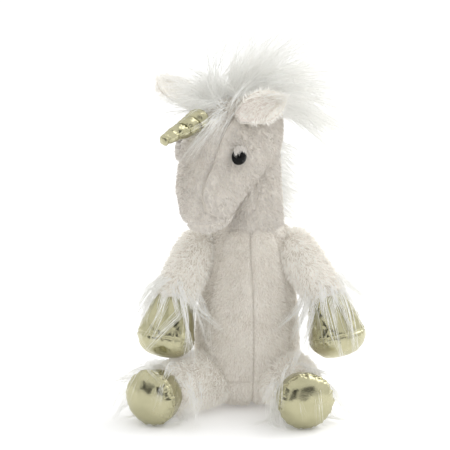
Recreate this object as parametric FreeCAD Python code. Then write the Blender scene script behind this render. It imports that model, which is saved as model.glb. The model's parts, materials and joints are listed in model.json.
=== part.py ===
import FreeCAD, Part
import math
import os

os.makedirs("parts", exist_ok=True)

V = FreeCAD.Vector

# Lengths in millimetres. The front faces -Y, +Z is up, the floor is z = 0.
CLOTH = 1.2
GAP = 0.5
TOUCH = 0.02

# Torso, level by level: height, middle x, middle y, half width, half depth.
TORSO = [
    (0.0, 0.0, 9.0, 27.0, 25.0),
    (0.8, 0.0, 8.4, 30.0, 27.5),
    (3.0, 0.0, 7.4, 33.0, 30.0),
    (7.0, 0.0, 6.0, 36.0, 32.5),
    (14.0, 0.0, 4.0, 39.0, 35.5),
    (25.0, 0.0, 2.0, 41.5, 38.0),
    (50.0, 0.0, 0.5, 42.5, 39.0),
    (75.0, 0.5, 1.0, 40.5, 38.0),
    (100.0, 1.5, 2.0, 37.0, 35.0),
    (120.0, 3.0, 3.0, 32.5, 31.0),
    (133.0, 3.6, 3.0, 28.5, 28.0),
    (140.0, 4.0, 3.0, 26.5, 26.5),
]
FRONT_SEAM_X = 3.5
SIDE_SEAM_Y = -8.0
SEAT_SEAM_Z = 16.0
BAG_SIZE = (20.0, 13.0, 20.0)
BAG_MIDDLE = V(0.0, 18.0, 4.0)

# Neck, a turning cylinder with a ball on top that the head nods on.
NECK_FOOT = V(4.0, 3.0, 140.5)
NECK_TOP = V(3.0, 3.6, 203.0)
NECK_FOOT_R = 25.2
NECK_TOP_R = 24.0
NOD_RANGE = 30.0

# Head, level by level: height, middle along its own forward line, half depth, half width.
HEAD_YAW = 42.0
HEAD_MIDDLE = V(-11.0, -12.0, 0.0)
HEAD = [
    (142.0, 27.0, 9.0, 8.0),
    (145.0, 28.0, 17.0, 13.0),
    (150.5, 28.5, 23.0, 17.5),
    (161.5, 27.0, 27.7, 21.5),
    (173.0, 22.5, 34.6, 25.0),
    (185.0, 14.3, 41.2, 29.0),
    (198.0, 3.5, 47.5, 32.0),
    (214.0, 0.0, 48.0, 32.5),
    (228.0, -5.0, 42.5, 29.5),
    (237.0, -9.0, 31.0, 23.0),
    (243.0, -12.0, 12.0, 9.0),
]
GUSSET_HALF = 17.0
EYE_R = 6.4
EYE_SINK = 1.6
SHANK_R = 1.6
SHANK_LENGTH = 8.0
WASHER_R = 6.5

# Horn
HORN_LENGTH = 41.0
HORN_R = 8.3
HORN_TIP_R = 3.4
HORN_DROOP = 15.0
HORN_BEND = 15.0
HORN_TURNS = 3

# Ears
EAR_LENGTH = 42.0
EAR_HALF = 11.5
EAR_CURL_R = 15.0

# Arms: shoulder, wrist and lowest point of the round sole of the hoof.
ARM_R = 16.0
WRIST_R = 14.5
ARM_HOOF_TOP_R = 15.5
ARM_HOOF_R = 21.0
ARM_SOLE_DEPTH = 15.0
ARMS = {
    "left": (V(-38.0, -2.0, 122.0), V(-56.0, -24.0, 88.0), V(-64.8, -33.9, 45.2)),
    "right": (V(36.0, -2.0, 122.0), V(61.0, -23.0, 89.0), V(71.8, -32.7, 45.2)),
}

# Legs: hip, ankle and middle of the sole of the hoof.
LEG_R = 21.8
ANKLE_R = 18.5
LEG_HOOF_R = 20.8
LEG_RANGE = 70.0
LEGS = {
    "left": (V(-31.0, -15.0, 23.4), V(-62.0, -45.5, 22.3), V(-75.5, -67.5, 21.5)),
    "right": (V(29.0, -15.0, 23.4), V(38.5, -52.0, 22.3), V(44.5, -77.5, 21.5)),
}
SOLE = 1.6

# Tail
TAIL_ROOT = V(0.0, 41.0, 30.0)
TAIL_R = 6.0

FORWARD = V(-math.sin(math.radians(HEAD_YAW)), -math.cos(math.radians(HEAD_YAW)), 0.0)
SIDEWAYS = V(math.cos(math.radians(HEAD_YAW)), -math.sin(math.radians(HEAD_YAW)), 0.0)
UP = V(0.0, 0.0, 1.0)


def turned(direction):
    """The rotation that takes +Z to a direction."""
    return FreeCAD.Rotation(UP, direction)


def ring(middle, rotation, rx, ry):
    """A smooth closed oval wire."""
    points = []
    for i in range(16):
        a = 2.0 * math.pi * i / 16
        points.append(middle + rotation.multVec(V(rx * math.cos(a), ry * math.sin(a), 0.0)))
    curve = Part.BSplineCurve()
    curve.interpolate(points, PeriodicFlag=True)
    return Part.Wire([curve.toShape()])


def pod(rings):
    """A solid skinned through rings of (middle, rotation, rx, ry)."""
    return Part.makeLoft([ring(*r) for r in rings], True, False)


def limb(start, direction, radius, stations):
    """A round limb with a half ball behind its start, through stations of (along, radius)."""
    tail, shoulder = V(0.0, 0.0, -radius), V(radius, 0.0, 0.0)
    between = V(radius * math.cos(math.pi / 4), 0.0, -radius * math.sin(math.pi / 4))
    edges = [Part.Arc(tail, between, shoulder).toShape()]
    points = [shoulder] + [V(r, 0.0, along) for along, r in stations]
    points += [V(0.0, 0.0, stations[-1][0]), tail]
    edges += [Part.makeLine(a, b) for a, b in zip(points, points[1:])]
    solid = Part.Face(Part.Wire(edges)).revolve(V(0.0, 0.0, 0.0), UP, 360.0)
    solid.Placement = FreeCAD.Placement(start, turned(direction))
    return solid


def ball(middle, radius, pole=UP):
    return Part.makeSphere(radius, middle, pole)


def block(low, high):
    """A box between two corners."""
    size = high - low
    return Part.makeBox(size.x, size.y, size.z, low)


def rod(start, direction, radius, length):
    return Part.makeCylinder(radius, length, start, direction)


def lock(stations):
    """A tapering lock of hair along stations of (middle, radius)."""
    rings = []
    for i, (middle, radius) in enumerate(stations):
        before = stations[max(i - 1, 0)][0]
        after = stations[min(i + 1, len(stations) - 1)][0]
        rings.append((middle, turned(after - before), radius, radius))
    return pod(rings)


def swing_room(middle, axis, start, radius, length, angle, pole=UP):
    """The space a round limb of this radius passes through as it swings about an axis."""
    across = axis.cross(start)
    slice_ = Part.makeCylinder(length, 2.0 * radius, V(0.0, 0.0, -radius), UP, angle)
    slice_.Placement = FreeCAD.Placement(middle, FreeCAD.Rotation(start, across, axis, "XYZ"))
    end = FreeCAD.Rotation(axis, angle).multVec(start)
    room = ball(middle, radius, pole)
    room = room.fuse(rod(middle, start, radius, length))
    room = room.fuse(rod(middle, end, radius, length))
    return room.fuse(slice_)


def head_point(forward, sideways, height):
    return HEAD_MIDDLE + FORWARD * forward + SIDEWAYS * sideways + UP * height


def inset(z, low, high, shrink):
    """A height drawn in so that both ends move inwards by the cloth."""
    return low + shrink + (z - low) * (high - low - 2.0 * shrink) / (high - low)


def save(node, shape):
    shape.exportStep("parts/" + node + ".step")


# Torso

def torso_form(shrink):
    low, high = TORSO[0][0], TORSO[-1][0]
    rings = []
    for z, x, y, rx, ry in TORSO:
        height = inset(z, low, high, shrink)
        rings.append((V(x, y, height), FreeCAD.Rotation(), rx - shrink, ry - shrink))
    return pod(rings)


def arm_room(side, more):
    """The ball of the shoulder and the cone that the arm's inner side sweeps."""
    shoulder, wrist = ARMS[side][:2]
    outward = math.copysign(1.0, shoulder.x)
    reach = (wrist - shoulder).normalize()
    lean = abs(reach.x)
    rise = math.sqrt(1.0 - lean * lean)
    radius = ARM_R + GAP + more
    near = (abs(shoulder.x) - radius * rise) * outward
    slope = lean / rise
    depth = 30.0
    low = radius * lean
    cone = Part.makeCone(low, low + depth / slope, depth, V(near, shoulder.y, shoulder.z), V(outward, 0, 0))
    return ball(shoulder, radius).fuse(cone)


def leg_frame(side):
    """Hip, direction of the leg down to the ankle, and the axis it swings down about."""
    hip, ankle, sole = LEGS[side]
    reach = (ankle - hip).normalize()
    axis = V(-reach.y, reach.x, 0.0).normalize()
    return hip, reach, axis


def leg_room(side, more):
    hip, reach, axis = leg_frame(side)
    return swing_room(hip, axis, reach, LEG_R + GAP + more, 70.0, LEG_RANGE, reach)


def torso_solid(shrink):
    form = torso_form(shrink)
    for side in ("left", "right"):
        form = form.cut(arm_room(side, shrink))
        form = form.cut(leg_room(side, shrink))
    return form.cut(ball(TAIL_ROOT, TAIL_R + GAP + shrink))


def build_torso():
    outer = torso_solid(0.0)
    inner = torso_solid(CLOTH)
    cover = outer.cut(inner)
    far = 150.0
    under = block(V(-far, -far, -10.0), V(far, far, SEAT_SEAM_Z))
    save("seat_panel", cover.common(under))
    upper = cover.cut(under)
    front = block(V(-far, -far, -10.0), V(far, SIDE_SEAM_Y, far))
    left = block(V(-far, -far, -10.0), V(FRONT_SEAM_X, far, far))
    save("front_panel_left", upper.common(front).common(left))
    save("front_panel_right", upper.common(front).cut(left))
    save("back_panel_left", upper.cut(front).common(left))
    save("back_panel_right", upper.cut(front).cut(left))
    rx, ry, height = BAG_SIZE
    bag = pod([
        (BAG_MIDDLE, FreeCAD.Rotation(), rx * 0.7, ry * 0.7),
        (BAG_MIDDLE + UP * height * 0.25, FreeCAD.Rotation(), rx, ry),
        (BAG_MIDDLE + UP * height * 0.75, FreeCAD.Rotation(), rx, ry),
        (BAG_MIDDLE + UP * height, FreeCAD.Rotation(), rx * 0.7, ry * 0.7),
    ])
    save("pellet_bag", bag)
    save("body_filling", inner.cut(bag))


# Neck

def neck_solid(shrink):
    down = NECK_FOOT - NECK_TOP
    stations = [(down.Length * 0.5, NECK_TOP_R + 0.4 - shrink), (down.Length - shrink, NECK_FOOT_R - shrink)]
    return limb(NECK_TOP, down, NECK_TOP_R - shrink, stations)


def build_neck():
    outer = neck_solid(0.0)
    inner = neck_solid(CLOTH)
    cover = outer.cut(inner)
    left = block(V(-90.0, -90.0, 100.0), V(FRONT_SEAM_X, 90.0, 260.0))
    save("neck_cover_left", cover.common(left))
    save("neck_cover_right", cover.cut(left))
    save("neck_filling", inner)
    back = V(0.55, 0.83, 0.0).normalize()
    spots = [(174.0, 4.0), (167.0, 8.5), (157.0, 9.0), (147.5, 5.0)]
    strip = lock([(V(3.5, 3.3, z) + back * 27.0, r) for z, r in spots])
    save("neck_mane", strip.cut(neck_solid(-TOUCH)))


# Head

def head_form(shrink):
    rings = []
    rotation = FreeCAD.Rotation(FORWARD, UP.cross(FORWARD), UP, "XYZ")
    for z, f, depth, width in HEAD:
        height = inset(z, HEAD[0][0], HEAD[-1][0], shrink)
        rings.append((head_point(f, 0.0, height), rotation, depth - shrink, width - shrink))
    return pod(rings)


def horn_frame():
    droop = math.radians(HORN_DROOP)
    return head_point(37.0, 0.0, 227.5), FORWARD * math.cos(droop) - UP * math.sin(droop)


def horn_room(more):
    base, direction = horn_frame()
    lifted = FreeCAD.Rotation(SIDEWAYS * -1.0, HORN_BEND).multVec(direction)
    radius = HORN_R + GAP + more
    room = ball(base, radius)
    for way in (direction, lifted):
        room = room.fuse(Part.makeCone(radius, HORN_TIP_R + GAP + 1.5, HORN_LENGTH, base, way))
    return room


def head_solid(shrink):
    start = V(0.0, 0.0, -1.0)
    form = head_form(shrink)
    room = swing_room(NECK_TOP, SIDEWAYS, start, NECK_TOP_R + 0.8 + GAP + shrink, 60.0, NOD_RANGE)
    return form.cut(room).cut(horn_room(shrink))


def eye_frame(side):
    """Middle of the dome and the way it looks."""
    sign = 1.0 if side == "right" else -1.0
    surface = head_point(24.8, 28.3 * sign, 202.0)
    look = (FORWARD * 0.29 + SIDEWAYS * 0.95 * sign).normalize()
    return surface - look * EYE_SINK, look


def build_eye(side, head):
    """Dome with its shank, and the washer that locks it inside the cloth."""
    middle, look = eye_frame(side)
    shank = rod(middle + look * 3.0, look * -1.0, SHANK_R, SHANK_LENGTH + 3.0)
    dome = ball(middle, EYE_R).cut(head)
    save("eye_" + side, dome.fuse(shank))
    washer = rod(middle - look * 3.0, look * -1.0, WASHER_R, 1.4)
    save("eye_washer_" + side, washer.cut(shank))
    return shank, washer


def build_head():
    outer = head_solid(0.0)
    inner = head_solid(CLOTH)
    cover = outer.cut(inner)
    filling = inner
    for side in ("left", "right"):
        shank, washer = build_eye(side, outer)
        cover = cover.cut(shank).cut(washer)
        filling = filling.cut(shank).cut(washer)
    save("head_filling", filling)
    rotation = FreeCAD.Rotation(FORWARD, UP.cross(FORWARD), UP, "XYZ")
    middle = block(V(-120.0, -GUSSET_HALF, 100.0), V(120.0, GUSSET_HALF, 280.0))
    middle.Placement = FreeCAD.Placement(HEAD_MIDDLE, rotation)
    right = block(V(-120.0, -120.0, 100.0), V(120.0, 0.0, 280.0))
    right.Placement = FreeCAD.Placement(HEAD_MIDDLE, rotation)
    outside = cover.cut(middle)
    save("head_side_right", outside.common(right))
    save("head_side_left", outside.cut(right))
    strip = cover.common(middle)
    jaw = block(V(-160.0, -60.0, -120.0), V(160.0, 60.0, 0.0))
    slope = FreeCAD.Rotation(V(0.0, 1.0, 0.0), 33.0)
    jaw.Placement = FreeCAD.Placement(head_point(30.0, 0.0, 143.5), rotation.multiply(slope))
    save("head_gusset", strip.cut(jaw))
    save("chin_panel", strip.common(jaw))


def build_forelock():
    """Crest between the ears, with locks that stand up, blow sideways and hang behind the head."""
    crown = [
        (head_point(16.0, 0.0, 240.0), 9.0),
        (head_point(2.0, 0.0, 247.0), 12.0),
        (head_point(-14.0, 2.0, 249.0), 13.0),
        (head_point(-32.0, 4.0, 240.0), 11.0),
        (head_point(-50.0, 5.0, 226.0), 7.5),
        (head_point(-56.0, 5.0, 214.0), 3.5),
    ]
    blown = [
        (V(-6.0, -6.0, 250.0), 12.0),
        (V(12.0, -5.0, 268.0), 15.0),
        (V(38.0, -3.0, 277.0), 12.0),
        (V(60.0, -1.0, 280.0), 7.0),
        (V(72.0, 0.0, 280.0), 2.5),
    ]
    standing = [
        (V(-8.0, -8.0, 250.0), 10.0),
        (V(-9.0, -7.0, 268.0), 10.0),
        (V(-11.0, -6.0, 283.0), 6.0),
        (V(-13.0, -6.0, 292.0), 2.0),
    ]
    hair = lock(crown).fuse(lock(blown)).fuse(lock(standing))
    save("forelock", hair.cut(head_form(-TOUCH)))


# Horn

def horn_form(shrink):
    """Gold cone drawn in where the thread is wound, with a round foot."""
    base, direction = horn_frame()
    stations = []
    steps = 4 * (HORN_TURNS + 1)
    for i in range(1, steps + 1):
        t = i / steps
        radius = HORN_R + (HORN_TIP_R - HORN_R) * t
        pinch = 0.5 * (1.0 + math.cos(2.0 * math.pi * t * (HORN_TURNS + 1)))
        if i < steps:
            radius = radius - 0.7 * pinch
        stations.append((HORN_LENGTH * t, radius - shrink))
    stations[-1] = (HORN_LENGTH - shrink, stations[-1][1])
    return limb(base, direction, HORN_R - shrink, stations)


def build_horn():
    base, direction = horn_frame()
    threads = []
    for i in range(HORN_TURNS):
        t = (i + 1.0) / (HORN_TURNS + 1)
        radius = HORN_R + (HORN_TIP_R - HORN_R) * t - 0.7
        threads.append(Part.makeTorus(radius, 0.45, base + direction * (HORN_LENGTH * t), direction))
    wound = Part.makeCompound(threads)
    inner = horn_form(1.0)
    save("horn_cover", horn_form(0.0).cut(inner).cut(wound))
    save("horn_filling", inner)
    save("horn_thread", wound)


# Ears

EARS = {
    "left": (head_point(15.0, -27.0, 233.0), head_point(14.0, -60.0, 250.0), V(0.25, -0.8, 0.55)),
    "right": (head_point(21.0, 25.5, 231.0), head_point(-15.0, 39.5, 243.0), V(0.35, -0.85, 0.4)),
}


def ear_frame(side):
    root, tip, face = EARS[side]
    length = (tip - root).normalize()
    across = face.cross(length).normalize()
    normal = length.cross(across)
    return root, length, across, normal


def leaf(side, inner_r, outer_r, size):
    root, length, across, normal = ear_frame(side)
    outline = [(0.0, 5.0), (0.25, 10.5), (0.5, 11.5), (0.78, 7.0)]
    points = [V(EAR_LENGTH * size * u, EAR_HALF / 11.5 * size * v, 0.0) for u, v in outline]
    tip = V(EAR_LENGTH * size, 0.0, 0.0)
    lower = [V(p.x, -p.y, 0.0) for p in reversed(points)]
    upper_edge = Part.BSplineCurve()
    upper_edge.interpolate(points + [tip])
    lower_edge = Part.BSplineCurve()
    lower_edge.interpolate([tip] + lower)
    root_edge = Part.makeLine(lower[-1], points[0])
    wire = Part.Wire([upper_edge.toShape(), lower_edge.toShape(), root_edge])
    plate = Part.Face(wire).extrude(V(0.0, 0.0, 14.0))
    axis_start = V(-5.0, 0.0, outer_r)
    curl = rod(axis_start, V(1.0, 0.0, 0.0), outer_r, 60.0)
    if outer_r < EAR_CURL_R + 1.0:
        curl = rod(V(-5.0, 0.0, EAR_CURL_R + 1.4), V(1.0, 0.0, 0.0), outer_r, 60.0)
    hollow = rod(V(-5.0, 0.0, EAR_CURL_R + 1.4), V(1.0, 0.0, 0.0), inner_r, 60.0)
    solid = plate.common(curl.cut(hollow))
    solid.Placement = FreeCAD.Placement(root, FreeCAD.Rotation(length, across, normal, "XYZ"))
    return solid.cut(head_form(-GAP - 0.3))


def build_ear(side):
    save("ear_outer_" + side, leaf(side, EAR_CURL_R, EAR_CURL_R + 1.4, 1.0))
    save("ear_lining_" + side, leaf(side, EAR_CURL_R - 1.2, EAR_CURL_R, 0.94))


# Arms

def arm_form(side, shrink):
    """Sleeve from the shoulder, cut off square to the hoof at the wrist."""
    shoulder, wrist, sole = ARMS[side]
    reach = (wrist - shoulder).Length
    radius = WRIST_R - shrink
    sleeve = limb(shoulder, wrist - shoulder, ARM_R - shrink, [(reach, radius), (reach + 12.0, radius)])
    beyond = block(V(-60.0, -60.0, -TOUCH), V(60.0, 60.0, 60.0))
    beyond.Placement = FreeCAD.Placement(wrist, turned(sole - wrist))
    return sleeve.cut(beyond)


def hoof_parts(start, end, top_r, bottom_r):
    """Outer form, wall, sole and filling of a hoof between two points."""
    direction = (end - start).normalize()
    length = (end - start).Length
    outer = Part.makeCone(top_r, bottom_r, length, start, direction)
    core = Part.makeCone(top_r - SOLE, bottom_r - SOLE, length - SOLE, start, direction)
    sole = outer.common(rod(end, direction * -1.0, bottom_r + 5.0, SOLE))
    return outer, outer.cut(core).cut(sole), sole, core


def round_hoof(wrist, bottom, shrink):
    """A hoof that widens from the wrist and ends in a round sole."""
    up = (wrist - bottom).normalize()
    radius = ARM_HOOF_R - shrink
    rise = (wrist - bottom).Length - ARM_HOOF_R
    return limb(bottom + up * ARM_HOOF_R, up, radius, [(rise, ARM_HOOF_TOP_R - shrink)])


def build_arm(side):
    shoulder, wrist, bottom = ARMS[side]
    down = (bottom - wrist).normalize()
    outer = arm_form(side, 0.0)
    inner = arm_form(side, CLOTH)
    hoof = round_hoof(wrist, bottom, 0.0)
    core = round_hoof(wrist, bottom, SOLE)
    shell = hoof.cut(core)
    cup = rod(bottom - down * ARM_SOLE_DEPTH, down, 40.0, 40.0)
    wall = shell.cut(cup)
    sole = shell.common(cup)
    save("arm_cover_" + side, outer.cut(inner))
    save("arm_filling_" + side, inner)
    save("arm_hoof_wall_" + side, wall)
    save("arm_hoof_sole_" + side, sole)
    save("arm_hoof_filling_" + side, core)
    band = Part.makeCone(16.5, 25.0, 20.0, wrist - down * 6.0, down)
    band = band.cut(outer).cut(hoof)
    keep = abs(wrist.x) - WRIST_R + 1.0
    body_side = block(V(-keep, -150.0, 0.0), V(keep, 150.0, 250.0))
    save("arm_feather_" + side, band.cut(body_side))


# Legs

def leg_form(side, shrink):
    hip, ankle, sole = LEGS[side]
    length = (ankle - hip).Length
    radius = ANKLE_R - shrink
    stations = [(length * 0.5, LEG_R - 0.8 - shrink), (length, radius), (length + 12.0, radius)]
    sleeve = limb(hip, ankle - hip, LEG_R - shrink, stations)
    beyond = block(V(-60.0, -60.0, -TOUCH), V(60.0, 60.0, 60.0))
    beyond.Placement = FreeCAD.Placement(ankle, turned(sole - ankle))
    return sleeve.cut(beyond)


def build_leg(side):
    hip, ankle, end = LEGS[side]
    reach = (end - ankle).normalize()
    outer = leg_form(side, 0.0)
    inner = leg_form(side, CLOTH)
    hoof, wall, sole, core = hoof_parts(ankle, end, ANKLE_R + 0.6, LEG_HOOF_R)
    save("leg_cover_" + side, outer.cut(inner))
    save("leg_filling_" + side, inner)
    save("leg_hoof_wall_" + side, wall)
    save("leg_hoof_sole_" + side, sole)
    save("leg_hoof_filling_" + side, core)
    band = Part.makeCone(20.5, 26.0, 22.0, ankle - reach * 8.0, reach)
    band = band.cut(outer).cut(hoof)
    floor = block(V(-200.0, -200.0, -60.0), V(200.0, 200.0, 0.5))
    save("leg_feather_" + side, band.cut(floor))


# Tail

def build_tail():
    root = TAIL_ROOT
    tip = root + V(-4.0, 15.0, -8.0)
    length = (tip - root).Length
    stub = limb(root, tip - root, TAIL_R, [(length, TAIL_R - 1.0)])
    plume = lock([
        (root + V(-2.6, 10.0, -5.0), 7.5),
        (root + V(-7.0, 24.0, -12.0), 11.0),
        (root + V(-12.0, 38.0, -18.0), 10.0),
        (root + V(-16.0, 50.0, -24.0), 4.5),
    ])
    save("tail_stub", stub)
    save("tail_hair", plume.cut(stub))


build_torso()
build_neck()
build_head()
build_forelock()
build_horn()
for side in ("left", "right"):
    build_ear(side)
    build_arm(side)
    build_leg(side)
build_tail()
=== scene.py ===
import itertools
import json
import math

import bpy
import mathutils
import numpy as np
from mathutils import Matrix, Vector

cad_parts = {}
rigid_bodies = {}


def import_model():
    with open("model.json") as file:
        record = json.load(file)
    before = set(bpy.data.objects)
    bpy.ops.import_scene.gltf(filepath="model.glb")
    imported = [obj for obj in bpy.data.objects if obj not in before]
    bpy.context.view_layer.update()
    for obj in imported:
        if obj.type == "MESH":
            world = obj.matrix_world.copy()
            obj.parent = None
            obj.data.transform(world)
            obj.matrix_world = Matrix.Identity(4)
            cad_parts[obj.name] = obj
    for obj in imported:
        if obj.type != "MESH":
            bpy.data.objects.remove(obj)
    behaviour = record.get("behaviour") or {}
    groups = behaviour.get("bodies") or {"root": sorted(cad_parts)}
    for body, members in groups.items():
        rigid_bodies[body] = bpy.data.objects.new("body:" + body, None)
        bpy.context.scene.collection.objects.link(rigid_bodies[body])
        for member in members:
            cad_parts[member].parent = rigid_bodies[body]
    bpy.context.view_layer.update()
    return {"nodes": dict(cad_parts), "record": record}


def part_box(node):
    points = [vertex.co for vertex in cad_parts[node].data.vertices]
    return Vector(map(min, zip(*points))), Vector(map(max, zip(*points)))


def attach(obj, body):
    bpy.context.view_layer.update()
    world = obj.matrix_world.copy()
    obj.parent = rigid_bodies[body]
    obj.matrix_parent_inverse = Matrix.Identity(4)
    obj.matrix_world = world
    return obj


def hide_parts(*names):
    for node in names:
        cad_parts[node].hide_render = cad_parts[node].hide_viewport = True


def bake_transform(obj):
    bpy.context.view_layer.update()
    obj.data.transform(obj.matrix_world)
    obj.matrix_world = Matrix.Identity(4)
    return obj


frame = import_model()
JOINTS = {j["name"]: j for j in frame["record"]["behaviour"]["joints"]}
MM = 0.001
X, Y, UP = np.eye(3)
YAW = math.radians(42.0)  # the head is turned this far to the left
FORWARD = np.array([-math.sin(YAW), -math.cos(YAW), 0.0])
SIDEWAYS = np.array([math.cos(YAW), -math.sin(YAW), 0.0])
SIDES = {"left": -1.0, "right": 1.0}


def unit(v):
    v = np.asarray(v, float)
    return v / np.maximum(np.linalg.norm(v, axis=-1, keepdims=True), 1e-12)


def pivot(joint):
    return np.array(JOINTS[joint]["pos_m"]) / MM


def middle_of(node):
    low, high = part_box(node)
    return (np.array(low) + np.array(high)) * 0.5 / MM


# ---------------------------------------------------------------- meshes

def make_mesh(name, verts, faces, slots=(), face_slot=None):
    """A mesh object from arrays in millimetres; faces is one array per polygon size."""
    faces = [np.asarray(f, np.int32) for f in (faces if isinstance(faces, list) else [faces])]
    mesh = bpy.data.meshes.new(name)
    verts = np.asarray(verts, np.float32) * MM
    mesh.vertices.add(len(verts))
    mesh.vertices.foreach_set("co", verts.ravel())
    loops = np.concatenate([f.ravel() for f in faces])
    sizes = np.concatenate([np.full(len(f), f.shape[1], np.int32) for f in faces])
    starts = np.concatenate([[0], np.cumsum(sizes)[:-1]]).astype(np.int32)
    mesh.loops.add(len(loops))
    mesh.loops.foreach_set("vertex_index", loops)
    mesh.polygons.add(len(sizes))
    mesh.polygons.foreach_set("loop_start", starts)
    if face_slot is not None:
        mesh.polygons.foreach_set("material_index", np.asarray(face_slot, np.int32))
    mesh.polygons.foreach_set("use_smooth", np.full(len(sizes), True))
    mesh.update(calc_edges=True)
    for material in slots:
        mesh.materials.append(material)
    obj = bpy.data.objects.new(name, mesh)
    bpy.context.scene.collection.objects.link(obj)
    return obj


def points_of(mesh):
    """Places of a mesh's vertices, in metres."""
    co = np.empty(len(mesh.vertices) * 3)
    mesh.vertices.foreach_get("co", co)
    return co.reshape(-1, 3)


def move_points(obj, co):
    obj.data.vertices.foreach_set("co", co.ravel())
    obj.data.update()


def wire(name, points, radius, resolution, material):
    """A round thread through points in metres, with its radius in millimetres."""
    curve = bpy.data.curves.new(name, "CURVE")
    curve.dimensions = "3D"
    curve.bevel_depth = radius * MM
    curve.bevel_resolution = resolution
    line = curve.splines.new("POLY")
    line.points.add(len(points) - 1)
    for point, place in zip(line.points, points):
        point.co = (*place, 1.0)
    curve.materials.append(material)
    obj = bpy.data.objects.new(name, curve)
    bpy.context.scene.collection.objects.link(obj)
    return obj


def spline(values, count):
    """Rows of values resampled smoothly to count rows."""
    values = np.asarray(values, float)
    n = len(values)
    t = np.linspace(0.0, n - 1.0, count)
    i = np.clip(t.astype(int), 0, n - 2)
    f = (t - i)[:, None]
    p0 = values[np.clip(i - 1, 0, n - 1)]
    p1 = values[i]
    p2 = values[i + 1]
    p3 = values[np.clip(i + 2, 0, n - 1)]
    return 0.5 * (2 * p1 + (p2 - p0) * f + (2 * p0 - 5 * p1 + 4 * p2 - p3) * f**2
                  + (3 * p1 - p0 - 3 * p2 + p3) * f**3)


def tube_grid(centres, across, along, rx, ry, around):
    """Verts and quads of a closed form skinned over ovals, with a point at each end."""
    a = np.linspace(0.0, 2.0 * math.pi, around, endpoint=False)
    ring = centres[:, None] + across[:, None] * (rx[:, None] * np.cos(a))[..., None]
    ring = ring + along[:, None] * (ry[:, None] * np.sin(a))[..., None]
    n = len(centres)
    verts = np.vstack([ring.reshape(-1, 3), centres[:1], centres[-1:]])
    i, j = np.meshgrid(np.arange(n - 1), np.arange(around), indexing="ij")
    k = (j + 1) % around
    quads = np.stack([i * around + j, i * around + k, (i + 1) * around + k, (i + 1) * around + j], -1)
    first, last = n * around, n * around + 1
    j = np.arange(around)
    k = (j + 1) % around
    caps = np.concatenate([
        np.stack([np.full(around, first), k, j], -1),
        np.stack([np.full(around, last), (n - 1) * around + j, (n - 1) * around + k], -1),
    ])
    return verts, [quads.reshape(-1, 4), caps]


def limb_grid(points, radii, count=48, around=48):
    """A round form along a bent line of points."""
    rows = spline(np.column_stack([points, radii]), count)
    centres, r = rows[:, :3], np.maximum(rows[:, 3], 0.05)
    tangent = unit(np.gradient(centres, axis=0))
    across = unit(np.cross(tangent, np.array([0.31, 0.9, 0.3])))
    return tube_grid(centres, across, np.cross(tangent, across), r, r, around)


def level_grid(levels, across, along, count, around=96):
    """A form skinned over level ovals of (x, y, z, rx, ry)."""
    rows = spline(levels, count)
    n = len(rows)
    return tube_grid(rows[:, :3], np.tile(across, (n, 1)), np.tile(along, (n, 1)),
                     np.maximum(rows[:, 3], 0.05), np.maximum(rows[:, 4], 0.05), around)


class Surface:
    """Triangles, normals and areas of an object, in millimetres, to scatter pile on."""

    def __init__(self, obj):
        mesh = obj.data
        mesh.calc_loop_triangles()
        nor = np.empty(len(mesh.vertices) * 3, np.float32)
        mesh.vertices.foreach_get("normal", nor)
        tri = np.empty(len(mesh.loop_triangles) * 3, np.int32)
        mesh.loop_triangles.foreach_get("vertices", tri)
        self.co = points_of(mesh) / MM
        self.nor = nor.reshape(-1, 3).astype(float)
        self.tri = tri.reshape(-1, 3)
        a, b, c = (self.co[self.tri[:, i]] for i in range(3))
        self.area = 0.5 * np.linalg.norm(np.cross(b - a, c - a), axis=1)

    def scatter(self, rng, per_mm2):
        """Random points spread evenly over the surface, and the normals there."""
        count = int(self.area.sum() * per_mm2)
        pick = rng.choice(len(self.tri), count, p=self.area / self.area.sum())
        u, v = rng.random(count), rng.random(count)
        flip = u + v > 1.0
        u[flip], v[flip] = 1.0 - u[flip], 1.0 - v[flip]
        w = np.stack([1.0 - u - v, u, v], -1)[..., None]
        point = (self.co[self.tri[pick]] * w).sum(1)
        normal = unit((self.nor[self.tri[pick]] * w).sum(1))
        return point, normal


LATTICE_SIZE = 24
LATTICE = np.random.default_rng(11).uniform(-1.0, 1.0, (LATTICE_SIZE, LATTICE_SIZE, LATTICE_SIZE, 3))


def noise(points, size):
    """Smooth repeating vector noise, about -1 to 1, with features of this size in mm."""
    q = np.asarray(points) / size
    i = np.floor(q).astype(int)
    f = q - i
    f = f * f * (3.0 - 2.0 * f)
    total = 0.0
    for corner in itertools.product((0, 1), repeat=3):
        weight = np.prod(np.where(corner, f, 1.0 - f), axis=1)
        cell = LATTICE[tuple(((i + corner) % LATTICE_SIZE).T)]
        total = total + cell * weight[:, None]
    return total


def side_axes(axis):
    """Two directions square to an axis and to each other."""
    across = unit(np.cross(axis, np.array([0.2, 0.3, 0.93])))
    return across, np.cross(axis, across)


def around_axis(points, base, axis):
    """Height along an axis, direction outwards from it and angle round it, for each point."""
    across, along = side_axes(axis)
    rel = points - base
    height = rel @ axis
    radial = rel - axis * height[:, None]
    return height, unit(radial), np.arctan2(radial @ along, radial @ across)


FIBRE_FLOOR = 0.3  # no pile or hair goes lower than this


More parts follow.
